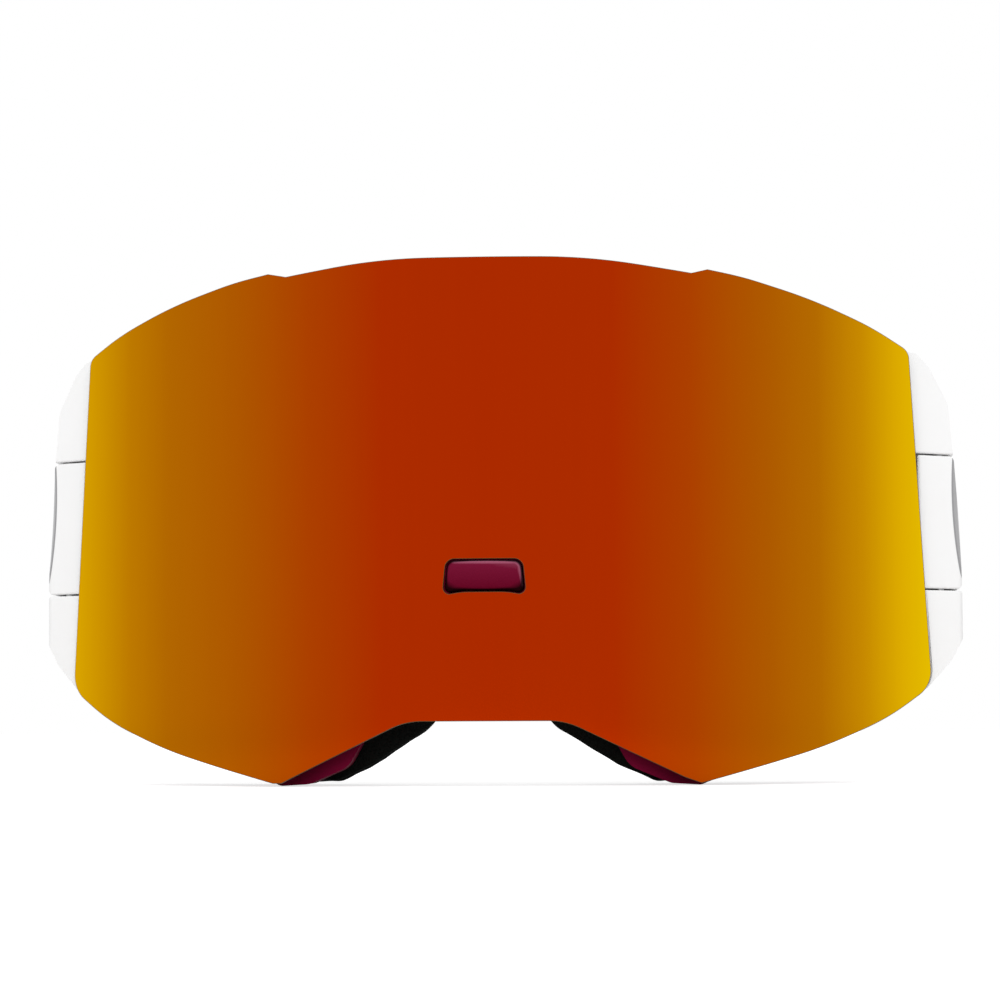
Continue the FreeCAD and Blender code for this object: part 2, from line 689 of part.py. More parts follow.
def outrigger():
    arm = rounded_slab(arm_plan(), OUTRIGGER_LOW, OUTRIGGER_TOP, [OUTRIGGER_LOW, OUTRIGGER_TOP])
    arm = arm.common(prism(arm_silhouette(), -20, 90)).cut(scoop())
    whole = arm.fuse(strap_loop()).removeSplitter()
    return whole.cut(hinge_pin(HINGE_FIT))


# ---------------------------------------------------------------- strap
def strap_band(inner_r, outer_r, low, high, start, end):
    """Part of the strap's rear bow, from start to end degrees behind the side."""
    ring = disc(0, STRAP_STRAIGHT_END, outer_r, low, high)
    ring = ring.cut(disc(0, STRAP_STRAIGHT_END, inner_r, low, high))
    reach = 3.0 * outer_r
    a = math.radians(start)
    b = math.radians(end)
    centre = V(0, STRAP_STRAIGHT_END, low)
    first = centre + V(math.cos(a), math.sin(a), 0) * reach
    last = centre + V(math.cos(b), math.sin(b), 0) * reach
    wedge = Part.Face(Part.makePolygon([centre, first, last, centre])).extrude(V(0, 0, high - low))
    return ring.common(wedge)


def wrap_centre():
    """Middle of the turn of the strap round the bar."""
    return BAR_OUTER - BAR_THICK / 2.0, BAR_FRONT + BAR_THICK / 2.0


def strap():
    """Outer layer of one half of the strap, with its turn round the bar."""
    low = STRAP_LOW
    high = STRAP_HIGH
    x, y = wrap_centre()
    turn = disc(x, y, STRAP_OUTER - x, low, high).cut(disc(x, y, STRAP_INNER - x, low, high))
    turn = turn.common(block(0, HIGH, 0, y, low, high))
    straight = block(STRAP_INNER, STRAP_OUTER, y, STRAP_STRAIGHT_END, low, high)
    bow = strap_band(STRAP_INNER, STRAP_OUTER, low, high, 0.0, 90.0)
    bow = bow.common(block(REAR_GAP / 2.0, HIGH, 0, 2.0 * HIGH, low, high))
    return turn.fuse([straight, bow]).removeSplitter()


def strap_tail():
    """Inner layer, from the bar back to the slider's middle bar."""
    x, y = wrap_centre()
    outer = 2.0 * x - STRAP_INNER
    return block(outer - STRAP_THICK, outer, y, SLIDER_Y, STRAP_LOW, STRAP_HIGH)


def strap_slider():
    """Three-bar slider: two bars outside the strap, one between its layers."""
    low = STRAP_LOW - STRAP_CLEAR
    high = STRAP_HIGH + STRAP_CLEAR
    front = SLIDER_Y - SLIDER_LENGTH / 2.0
    rear = SLIDER_Y + SLIDER_LENGTH / 2.0
    inside = BAR_OUTER - BAR_THICK
    outside = STRAP_OUTER + STRAP_CLEAR
    outline = [
        (front, low - SLIDER_RAIL, SLIDER_CORNER), (front, high + SLIDER_RAIL, SLIDER_CORNER),
        (rear, high + SLIDER_RAIL, SLIDER_CORNER), (rear, low - SLIDER_RAIL, SLIDER_CORNER)]
    wire = rounded_wire(outline, lambda p: V(inside, p[0], p[1]))
    body = Part.Face(wire).extrude(V(outside + SLIDER_OUTER_BAR - inside, 0, 0))
    body = body.makeFillet(EDGE_ROUND, [e for e in body.Edges if e.BoundBox.XLength < 0.01])
    half = SLIDER_BAR / 2.0
    body = body.cut(block(outside, 100, front + SLIDER_BAR, rear - SLIDER_BAR, low, high))
    body = body.cut(block(BAR_OUTER, outside, front - 1, rear + 1, low, high))
    body = body.cut(block(80, BAR_OUTER, front - 1, SLIDER_Y - half, low, high))
    return body.cut(block(80, BAR_OUTER, SLIDER_Y + half, rear + 1, low, high))


def strap_grip():
    """Silicone beads on the inside of the rear bow."""
    start, end = GRIP_ANGLES
    half = GRIP_WIDTH / 2.0
    beads = []
    for row in GRIP_ROWS:
        mid = STRAP_MID_Z + row * GRIP_PITCH
        beads.append(strap_band(STRAP_INNER - GRIP_THICK, STRAP_INNER, mid - half, mid + half, start, end))
    return Part.makeCompound(beads)


# ---------------------------------------------------------------- export
def pieces():
    soft_from = FOAM_BASE_THICK
    fleece_from = FOAM_BASE_THICK + FOAM_SOFT_THICK
    made = {
        "outer_lens": outer_lens(),
        "lens_spacer": lens_spacer(),
        "inner_lens": inner_lens(),
        "lens_carrier": lens_carrier(),
        "lens_magnets": magnets(CARRIER_MAGNET_R),
        "frame": frame(),
        "face_flange": face_flange(),
        "frame_magnets": magnets(FRAME_MAGNET_R),
        "button_housing": button_housing(),
        "release_button": release_button(),
        "button_spring": button_spring(),
        "brow_vent_foam": brow_vent_foam(),
        "chin_vent_foam": chin_vent_foam(),
        "foam_base": foam_layer(0.0, soft_from),
        "foam_soft": foam_layer(soft_from, fleece_from),
        "foam_fleece": foam_layer(fleece_from, fleece_from + FLEECE_THICK),
        "cover_screws": cover_screws(),
    }
    right_side = {
        "side_cover": side_cover(),
        "outrigger": outrigger(),
        "hinge_pin": hinge_pin(),
        "strap": strap(),
        "strap_tail": strap_tail(),
        "strap_slider": strap_slider(),
        "strap_grip": strap_grip(),
    }
    for name, shape in right_side.items():
        made[name + "_right"] = shape
        made[name + "_left"] = mirrored(shape)
    return made


def main():
    os.makedirs("parts", exist_ok=True)
    for name, shape in pieces().items():
        placed = shape.copy()
        placed.translate(V(0, -SEAT_Y, -SEAT_Z))
        placed.exportStep("parts/" + name + ".step")
        box = placed.BoundBox
        print(name, len(placed.Solids), "solids", placed.isValid(), round(placed.Volume, 1),
              [round(c, 2) for c in (box.XMin, box.XMax, box.YMin, box.YMax, box.ZMin, box.ZMax)])


main()
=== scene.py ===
"""Ski goggles: the look of every piece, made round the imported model.

Lengths are millimetres in the goggles' own axes: X across the face, Y back from the front of
the lens, Z up from the lowest point of the frame. placed() turns them into the model's metres.
"""

import json
import math

import bpy
import numpy as np
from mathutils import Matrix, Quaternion, Vector

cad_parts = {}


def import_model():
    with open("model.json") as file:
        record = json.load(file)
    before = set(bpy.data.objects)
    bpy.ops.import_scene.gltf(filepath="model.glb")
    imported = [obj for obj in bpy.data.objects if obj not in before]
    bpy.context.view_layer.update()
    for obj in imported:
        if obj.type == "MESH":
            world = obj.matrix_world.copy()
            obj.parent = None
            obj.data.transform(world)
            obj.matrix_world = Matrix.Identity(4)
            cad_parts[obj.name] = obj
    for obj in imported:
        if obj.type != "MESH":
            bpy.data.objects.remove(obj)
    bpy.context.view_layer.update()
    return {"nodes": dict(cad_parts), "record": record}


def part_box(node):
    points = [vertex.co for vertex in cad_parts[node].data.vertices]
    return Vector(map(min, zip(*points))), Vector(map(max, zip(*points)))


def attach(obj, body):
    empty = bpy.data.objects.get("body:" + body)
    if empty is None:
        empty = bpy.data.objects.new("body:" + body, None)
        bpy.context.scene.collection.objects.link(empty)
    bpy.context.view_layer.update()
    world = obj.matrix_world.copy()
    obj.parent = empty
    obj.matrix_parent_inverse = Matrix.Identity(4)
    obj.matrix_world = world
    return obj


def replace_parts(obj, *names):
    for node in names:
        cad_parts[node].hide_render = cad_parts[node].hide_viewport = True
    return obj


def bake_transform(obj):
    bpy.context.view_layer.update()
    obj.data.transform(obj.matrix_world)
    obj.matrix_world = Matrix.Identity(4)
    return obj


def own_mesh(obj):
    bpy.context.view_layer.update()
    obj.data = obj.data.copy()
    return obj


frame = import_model()
SIDES = (("right", 1.0), ("left", -1.0))

# ---------------------------------------------------------------- sizes, mm
SEAT_Y = 60.0                # the face seat, behind the lens front
SEAT_Z = 52.0                # and above the lowest point
LENS_RADIUS = 108.0
LENS_THICK = 1.2
LENS_EDGE = 0.12             # round on the cut edges of the outer lens
SEAT_RADIUS = 100.7          # where the lens stack sits on the frame
RIM_REAR_RADIUS = 97.7
FACE_RADIUS = 95.0           # plan curve of the flange that carries the foam
FACE_AXIS_Y = 117.0
FLANGE_THICK = 1.6
FRAME_WALL = 2.2
SIDE_DRAFT = 0.30            # how far each wall leans in, for each mm of depth
BROW_DRAFT = 0.16
CHIN_DRAFT = 0.12
NOSE_DRAFT = 0.16
SIDE_FROM = 76.8             # side walls lean in beyond this X
LOBE_X = 41.8                # the nose walls flare out from here to the middle
LOBE_FROM = 46.8             # chin walls lean in beyond this X
WALL_ENDS = (-5.0, 80.0)     # the walls are ruled between these depths

FOAM_RING = 10.0             # width of the face foam
FOAM_EDGE = 0.8              # how far it is set in from the frame's edge
FOAM_BASE = 6.0              # thickness of the firm layer, the soft one and the fleece
FOAM_SOFT = 7.0
FLEECE = 2.0
FOAM_RIPPLE = 0.10
VENT_FOAM = 2.0
VENT_GAP = 0.08              # between the vent foam and what it lies in
BROW_FOAM_HALF = 62.0        # the brow strip reaches this X
CHIN_FOAM = (47.0, 74.0)     # and each chin strip runs between these

STRAP_X = 91.5
STRAP_THICK = 1.8
STRAP_WIDTH = 40.0
STRAP_MID_Z = 52.3
BOW_Y = 135.0                # the strap runs straight to here, then round the head
TURN_X = 89.6                # middle of the bar that the strap turns round
TURN_Y = 78.9
TAIL_X = 2.0 * TURN_X - STRAP_X  # the inner layer, on the other side of the bar
TAIL_END = 118.0
GRIP_ANGLES = (24.0, 86.0)   # the beads' ends, round the bow
GRIP_PITCH = 10.0
GRIP_WIDTH = 3.0
GRIP_THICK = 0.5
STITCH_ROWS = (112.6, 115.6)     # depths of the two rows that sew the tail
STITCH_PITCH = 3.0
STITCH_LENGTH = 2.3
THREAD = 0.24                # radius
THREAD_SUNK = 0.3            # share of the radius that lies in the webbing

# corners of half of the frame's front outline: X, Z and corner radius, 0 for the largest arc
FRAME_HALF = [
    (21.0, 101.9, 0), (50.0, 98.8, 0), (66.0, 94.2, 0), (78.8, 87.9, 5.0), (82.0, 22.5, 7.0),
    (75.0, 13.6, 0), (52.0, 4.6, 0), (41.8, 0.0, 4.0), (35.6, 0.4, 4.0), (27.6, 3.8, 5.0),
    (23.2, 11.5, 6.0), (20.5, 19.0, 6.0), (13.0, 26.0, 7.0)]
FOAM_FOLLOWS = 7             # the foam follows the frame's first corners
FOAM_NOSE = [
    (41.3, 1.2, 4.0), (31.0, 1.0, 4.0), (23.4, 4.1, 8.0), (10.2, 11.9, 8.0), (4.5, 20.0, 6.0)]
# and of half of the outer lens, with the small step in its brow, and of the button
LENS_HALF = [
    (20.4, 102.9, 0), (40.8, 100.1, 1.2), (42.9, 101.1, 1.0), (50.5, 99.8, 0), (64.0, 96.2, 0),
    (76.2, 91.6, 0), (84.0, 87.5, 2.5), (88.3, 19.6, 6.0), (78.8, 12.9, 0), (65.5, 7.2, 0),
    (53.0, 3.5, 0), (41.2, 0.3, 1.6), (15.5, 12.6, 14.0)]
BUTTON_TOP = 43.7
BUTTON_LOW = 37.4
BUTTON_ARCH = 0.6            # rise of the hollow lower edge
BUTTON_MIDDLE = (0.0, (BUTTON_TOP + BUTTON_LOW) / 2.0)
BUTTON_HALF = [
    (7.15, BUTTON_TOP, 1.5), (7.75, BUTTON_LOW, 1.3), (4.55, BUTTON_LOW + BUTTON_ARCH, 0)]
BUTTON_GAP = 0.35            # round the button in the lens
COIL_ENDS = (4.45, 9.7)      # the spring, from the button's flange to the housing's rear wall
COIL_RADIUS = 1.95
COIL_WIRE = 0.22             # radius
COIL_TURNS = 4
# the facet planed off the outrigger's front edge by a large cylinder
FACET_LENGTH = 22.5
FACET_DEPTH = 0.5
FACET_EDGE = (94.65, 53.7, 52.6)  # middle of the edge that it cuts away
FACET_OUT = (0.96, -0.28, 0.06)   # the way it faces
FACET_BAND = 0.25            # how far the painted shade reaches past the facet's own edge
FACET_SOFT = 0.06            # and over what width it ends there
FACET_FADE = (0.6, 3.0)      # behind the edge: where the painted shade starts to fade, and where it ends

# ---------------------------------------------------------------- camera and light, metres
CAMERA_PLACE = (0.05056, -0.78810, -0.04136)
CAMERA_FORWARD = (-0.0648289, 0.9960170, 0.0612154)
CAMERA_ROLL = -0.25          # degrees
CAMERA_LENS = 135.81         # focal length, mm
CAMERA_SENSOR = 36.0         # width, mm
FLOOR_REACH = 30.0
FLOOR_GAP = 0.0001           # below the lowest point of the frame
FLOOR_GLOW = (0.70, 0.31)    # as the camera sees it, and as mirrors and glass do
SKY_LIGHT = 0.72             # the sky's strength as light, where the camera sees 1
KEY_PLACE = (0.04, -1.5, 0.55)  # a soft square lamp
KEY_SIZE = 1.0
KEY_WATTS = 13.0


# ---------------------------------------------------------------- outlines and places
def placed(x, y, z):
    """Points in the model's metres, from millimetres in the goggles' axes."""
    return np.stack([x, y - SEAT_Y, z - SEAT_Z], axis=-1) / 1000.0


def both_sides(half):
    """The closed outline from its right half, as rows of X, Z and corner radius."""
    right = np.array(half, float)
    left = right[::-1] * np.array([-1.0, 1.0, 1.0])
    return np.concatenate([right, left])


def edges_of(outline):
    """Unit directions and lengths of the edges before and after each corner."""
    points = outline[:, :2]
    into = points - np.roll(points, 1, axis=0)
    out = np.roll(points, -1, axis=0) - points
    before = np.linalg.norm(into, axis=1)
    after = np.linalg.norm(out, axis=1)
    return into / before[:, None], out / after[:, None], before, after


def inset(outline, distance):
    """Every edge moved inwards by the distance: each corner goes along its mitre."""
    least_radius = 0.4
    into, out, _, _ = edges_of(outline)
    turn = into[:, 0] * out[:, 1] - into[:, 1] * out[:, 0]
    along = (into * out).sum(axis=1)
    scale = distance / (1.0 + along)
    moved = outline.copy()
    moved[:, 0] += (into[:, 1] + out[:, 1]) * scale
    moved[:, 1] -= (into[:, 0] + out[:, 0]) * scale
    radius = np.maximum(outline[:, 2] + np.where(turn < 0, -distance, distance), least_radius)
    moved[:, 2] = np.where(outline[:, 2] > 0, radius, 0.0)
    return moved


def loop(outline, per_arc, per_run):
    """Points round an outline of straight runs and tangent arcs.

    Each arc is the weighted parabola S(1-t)^2 + 2wMt(1-t) + Et^2 over its own weights, from its
    start S by the corner M to its end E. It is a circle when w is the cosine of half the turn.
    It takes at most 0.45 of the shorter run beside it.
    """
    points = outline[:, :2]
    into, out, before, after = edges_of(outline)
    half_turn = 0.5 * np.arccos(np.clip((into * out).sum(axis=1), -1.0, 1.0))
    room = 0.45 * np.minimum(before, after)
    cut = np.where(outline[:, 2] > 0, np.minimum(outline[:, 2] * np.tan(half_turn), room), room)
    start = (points - into * cut[:, None])[:, None]
    end = (points + out * cut[:, None])[:, None]
    t = np.linspace(0.0, 1.0, per_arc)[None, :, None]
    weight = np.cos(half_turn)[:, None, None]
    shares = (1 - t) ** 2, 2 * weight * t * (1 - t), t ** 2
    arcs = (shares[0] * start + shares[1] * points[:, None] + shares[2] * end) / sum(shares)
    s = np.linspace(0.0, 1.0, per_run + 2)[1:-1][None, :, None]
    runs = end * (1 - s) + np.roll(start, -1, axis=0) * s
    return np.concatenate([arcs, runs], axis=1).reshape(-1, 2)


def round_steps(count):
    """Angles in equal steps round a circle."""
    return np.linspace(0.0, 2.0 * math.pi, count, endpoint=False)


def lens_y(x, radius):
    """Depth of a cylinder of this radius about the lens's upright axis."""
    return LENS_RADIUS - np.sqrt(radius ** 2 - x ** 2)


def face_y(x, step_back):
    """Depth of the surface this far behind the flange, curved about an upright axis."""
    return FACE_AXIS_Y - np.sqrt(np.maximum((FACE_RADIUS - step_back) ** 2 - x ** 2, 1.0))


def wall(outline, per_arc, per_run):
    """The front and rear ends of the leaning wall that stands on an outline at the lens seat.

    Each corner moves by its draft times its depth behind the seat.
    """
    x, z = outline[:, 0], outline[:, 1]
    flare = NOSE_DRAFT * np.maximum(0.0, 1.0 - np.abs(x) / LOBE_X) * (z < SEAT_Z)
    lean_x = np.sign(x) * np.where(np.abs(x) > SIDE_FROM, -SIDE_DRAFT, flare)
    low = np.where(np.abs(x) > LOBE_FROM, CHIN_DRAFT, 0.0)
    lean_z = np.where(z > SEAT_Z, -BROW_DRAFT, low)
    ends = []
    for y in WALL_ENDS:
        depth = y - lens_y(x, SEAT_RADIUS)
        moved = np.stack([x + lean_x * depth, z + lean_z * depth, outline[:, 2]], axis=1)
        ends.append(loop(moved, per_arc, per_run))
    return ends


def on_wall(ends, depth_of, rounds=5):
    """Points of a wall at the depth that depth_of gives for their X.

    The wall is straight from its front end to its rear one. Each round slides the points along
    it to the last depth, and then reads the depth at their new X.
    """
    front, rear = ends
    y = np.full(len(front), SEAT_Y / 2)
    for _ in range(rounds):
        share = (y - WALL_ENDS[0]) / (WALL_ENDS[1] - WALL_ENDS[0])
        flat = front + (rear - front) * share[:, None]
        y = depth_of(flat[:, 0])
    return flat[:, 0], y, flat[:, 1]


# ---------------------------------------------------------------- meshes
def grid_faces(rows, columns, wrap_rows):
    """The quads of a grid whose columns close on themselves: each point with its neighbours."""
    r, c = np.meshgrid(
        np.arange(rows if wrap_rows else rows - 1), np.arange(columns), indexing="ij")
    below, beside = (r + 1) % rows, (c + 1) % columns
    corners = [r * columns + c, r * columns + beside, below * columns + beside, below * columns + c]
    return np.stack(corners, axis=-1).reshape(-1, 4)


def signed_volume(points, faces):
    """Six times the volume between the quads and the origin, less than 0 if they face inwards.

    It is the sum of a . (b x c) over the two triangles of each quad.
    """
    a, b, c, d = (points[faces[:, k]] for k in range(4))
    first = np.einsum("ij,ij->i", a, np.cross(b, c)).sum()
    return first + np.einsum("ij,ij->i", a, np.cross(c, d)).sum()


def surface(name, points, coat, wrap_rows=False, uv=None, sharp=40.0, other=()):
    """A mesh from a grid of points, closed at the ends by flat caps unless its rows wrap.

    Its normals are turned outwards. other lists further finishes, each with the first and last
    of its rows.
    """
    rows, columns = points.shape[:2]
    flat = points.reshape(-1, 3)
    quads = grid_faces(rows, columns, wrap_rows)
    ring = np.arange(columns)
    caps = [] if wrap_rows else [ring[::-1].tolist(), (ring + (rows - 1) * columns).tolist()]
    faces = quads.tolist() + caps
    if signed_volume(flat - flat.mean(axis=0), quads) < 0:
        faces = [face[::-1] for face in faces]
    mesh = bpy.data.meshes.new(name)
    mesh.from_pydata(flat.tolist(), [], faces)
    mesh.polygons.foreach_set("use_smooth", np.ones(len(faces), bool))
    mesh.set_sharp_from_angle(angle=math.radians(sharp))
    if uv is not None:
        at = np.zeros(len(mesh.loops), np.int32)
        mesh.loops.foreach_get("vertex_index", at)
        mesh.uv_layers.new(name="cloth").data.foreach_set("uv", uv.reshape(-1, 2)[at].ravel())
    mesh.materials.append(coat)
    row_of_face = np.arange(len(faces)) // columns
    chosen = np.zeros(len(faces), np.int32)
    for k, (material, first, last) in enumerate(other, start=1):
        mesh.materials.append(material)
        chosen[(row_of_face >= first) & (row_of_face <= last)] = k
    mesh.polygons.foreach_set("material_index", chosen)
    piece = bpy.data.objects.new(name, mesh)
    bpy.context.scene.collection.objects.link(piece)
    return piece


def joined(name, parts):
    """Several meshes made one piece."""
    with bpy.context.temp_override(active_object=parts[0], selected_editable_objects=parts):
        bpy.ops.object.join()
    parts[0].name = name
    return parts[0]


# ---------------------------------------------------------------- finishes
def add(tree, kind, inputs=None, **settings):
    """A node with its settings, its input values and the sockets joined to it."""
    node = tree.nodes.new(kind)
    for key, value in settings.items():
        setattr(node, key, value)
    for key, value in (inputs or {}).items():
        socket = node.inputs[key]
        if isinstance(value, bpy.types.NodeSocket):
            tree.links.new(value, socket)
        else:
            socket.default_value = value
    return node


def finish(name, **sockets):
    """A material with one Principled shader and its constant values set on the shader."""
    material = bpy.data.materials.new(name)
    material.use_nodes = True
    tree = material.node_tree
    shader = tree.nodes["Principled BSDF"]
    for key, value in sockets.items():
        shader.inputs[key.replace("_", " ")].default_value = value
    place = add(tree, "ShaderNodeTexCoord").outputs["Object"]
    return material, tree, shader, place


def computed(tree, operation, *values, **settings):
    """The result of one Math node on numbers or sockets."""
    node = add(tree, "ShaderNodeMath", dict(enumerate(values)), operation=operation, **settings)
    return node.outputs[0]


def computed_vector(tree, operation, *values):
    """The outputs of one Vector Math node on vectors or sockets."""
    node = add(tree, "ShaderNodeVectorMath", dict(enumerate(values)), operation=operation)
    return node.outputs


def ranged(tree, value, low, high, to_low=0.0, to_high=1.0):
    """A value carried straight from one range to another, and held at its ends."""
    node = add(tree, "ShaderNodeMapRange", {
        "Value": value, "From Min": low, "From Max": high, "To Min": to_low, "To Max": to_high})
    return node.outputs["Result"]


def coordinates(tree, place):
    """The X, Y and Z of a place."""
    return add(tree, "ShaderNodeSeparateXYZ", {"Vector": place}).outputs


def mixed_colour(tree, factor, dark, light):
    """A colour between two, by a factor. Each is three numbers or a socket."""
    ends = [c if isinstance(c, bpy.types.NodeSocket) else (*c, 1.0) for c in (dark, light)]
    mix = add(tree, "ShaderNodeMix", {"Factor": factor, 6: ends[0], 7: ends[1]}, data_type="RGBA")
    return mix.outputs[2]


def shaded(tree, colour, level):
    """A colour times a level."""
    node = add(tree, "ShaderNodeVectorMath", {0: colour, "Scale": level}, operation="SCALE")
    return node.outputs["Vector"]


def paint(tree, shader, colour):
    """Joins a colour to the shader."""
    tree.links.new(colour, shader.inputs["Base Color"])


def bump(tree, shader, height, depth_mm):
    """A relief of the given depth, by a height from 0 to 1."""
    node = add(tree, "ShaderNodeBump", {
        "Height": height, "Strength": 1.0, "Distance": depth_mm / 1000.0})
    tree.links.new(node.outputs["Normal"], shader.inputs["Normal"])


def noise(tree, place, size_mm, detail=2.0, roughness=0.5):
    """Cloudy noise whose blotches are about size_mm across."""
    node = add(tree, "ShaderNodeTexNoise", {
        "Vector": place, "Scale": 1000.0 / size_mm, "Detail": detail, "Roughness": roughness})
    return node.outputs["Fac"]


def mirror_coating_and_painted_reflection():
    """Orange-red in the middle, turning yellow towards the sides, with faint upright streaks.

    The colour is a ramp along X, partly the coating's own colour and partly painted reflection
    of the studio. Noise drawn out upwards makes it lighter and darker by 1.5 %.
    """
    # the stops hold painted reflection of the studio as well as the coating's own colour
    across = [
        (-88, (0.680, 0.385, 0.001)), (-82, (0.610, 0.296, 0.0)), (-74, (0.509, 0.191, 0.0)),
        (-65, (0.445, 0.133, 0.0)), (-50, (0.423, 0.095, 0.0)), (-35, (0.413, 0.051, 0.0)),
        (-20, (0.410, 0.025, 0.0)), (0, (0.407, 0.023, 0.0)), (25, (0.410, 0.025, 0.0)),
        (40, (0.416, 0.051, 0.0)), (55, (0.423, 0.100, 0.0)), (65, (0.456, 0.144, 0.0)),
        (74, (0.571, 0.250, 0.0)), (82, (0.723, 0.413, 0.0)), (88, (0.780, 0.510, 0.001))]
    reach = 90.0
    streak_mm = 1.4
    drawn_out = (1.0, 1.0, 0.02)
    material, tree, shader, place = finish(
        "mirror_coating_and_painted_reflection", Metallic=1.0, Roughness=0.07, Specular_Tint=(1.0, 0.75, 0.45, 1.0))
    share = ranged(tree, coordinates(tree, place)["X"], -reach / 1000.0, reach / 1000.0)
    ramp = add(tree, "ShaderNodeValToRGB", {"Fac": share})
    stops = ramp.color_ramp.elements
    for k, (at, colour) in enumerate(across):
        stop = stops[k] if k < 2 else stops.new(1.0)
        stop.position = 0.5 + at / (2.0 * reach)
        stop.color = (*colour, 1.0)
    upright = add(tree, "ShaderNodeMapping", {"Vector": place, "Scale": drawn_out})
    streak = noise(tree, upright.outputs["Vector"], streak_mm, detail=3.0)
    level = ranged(tree, streak, 0.0, 1.0, 0.985, 1.015)
    paint(tree, shader, shaded(tree, ramp.outputs["Color"], level))
    return material


def tinted_plastic(name, dark, light, roughness, specular):
    """The bare plastic of the outer lens, as its cut edge and its back show it."""
    material, tree, shader, place = finish(name, Roughness=roughness, Specular_IOR_Level=specular)
    paint(tree, shader, mixed_colour(tree, noise(tree, place, 30.0), dark, light))
    return material


def clear_plastic():
    """The inner lens: clear and nearly smooth, with the faintest warm tint."""
    material, tree, shader, place = finish(
        "clear_plastic", Roughness=0.03, IOR=1.49, Transmission_Weight=1.0)
    cloud = noise(tree, place, 40.0)
    paint(tree, shader, mixed_colour(tree, cloud, (0.93, 0.90, 0.87), (0.95, 0.93, 0.90)))
    return material


def moulded(name, dark, light, roughness, specular, grain_mm=0.35, grain_depth=0.02):
    """Moulded plastic: a fine spark-eroded grain under a slow change of shade."""
    material, tree, shader, place = finish(name, Roughness=roughness, Specular_IOR_Level=specular)
    paint(tree, shader, mixed_colour(tree, noise(tree, place, 9.0, detail=3.0), dark, light))
    bump(tree, shader, noise(tree, place, grain_mm, detail=3.0, roughness=0.65), grain_depth)
    return material


def button_plastic():
    """The button's satin plastic.

    A painted shade deepens from the top edge to the lower one, with a fine mottle. A painted
    highlight makes the rim paler where its normal, dotted with the way the highlight faces, is
    large. Painted shade darkens it where it turns down into the gap, and that starts further
    forward on the lower edge than on the top one.
    """
    # dark and light: painted shade from the lower edge up to the top one; the third colour: a painted
    # highlight for the rim
    dark, light, painted_highlight = (0.102, 0.0002, 0.011), (0.152, 0.0062, 0.029), (0.330, 0.090, 0.150)
    mottle = 0.35
    # the painted highlight lies where the rim faces up and to the right, as the light falls
    highlight_facing = (0.60, -0.30, 0.75)
    highlight_from, highlight_full, strongest_highlight = 0.45, 0.72, 0.95
    # painted shade where the rim turns down into the gap
    gap_shade = 0.10
    gap_from, gap_to = -0.15 / 1000.0, 0.12 / 1000.0
    gap_slant = 0.38 / 1000.0
    material, tree, shader, place = finish(
        "button_burgundy", Roughness=0.42, Specular_IOR_Level=0.02)
    parts = coordinates(tree, place)
    low, high = ((height - SEAT_Z) / 1000.0 for height in (BUTTON_LOW, BUTTON_TOP))
    # painted shade: the share from the lower edge up to the top one
    share = ranged(tree, parts["Z"], low, high)
    cloud = noise(tree, place, 0.55, detail=3.0, roughness=0.7)
    spread = computed(tree, "MULTIPLY_ADD", cloud, mottle, -mottle / 2.0)
    factor = computed(tree, "ADD", share, spread, use_clamp=True)
    # painted highlight, by the rim's normal
    normal = add(tree, "ShaderNodeTexCoord").outputs["Normal"]
    facing = computed_vector(tree, "DOT_PRODUCT", normal, highlight_facing)["Value"]
    highlight = ranged(tree, facing, highlight_from, highlight_full, 0.0, strongest_highlight)
    colour = mixed_colour(tree, highlight, mixed_colour(tree, factor, dark, light), painted_highlight)
    # painted shade in the gap, reaching further forward on the lower edge than on the top one
    rise = computed(tree, "MULTIPLY_ADD", share, gap_slant, -gap_slant / 2.0)
    sunk = computed(tree, "SUBTRACT", parts["Y"], rise)
    front = -SEAT_Y / 1000.0
    shade = ranged(tree, sunk, front + gap_from, front + gap_to, 1.0, gap_shade)
    paint(tree, shader, shaded(tree, colour, shade))
    bump(tree, shader, noise(tree, place, 0.30, detail=3.0, roughness=0.65), 0.03)
    return material


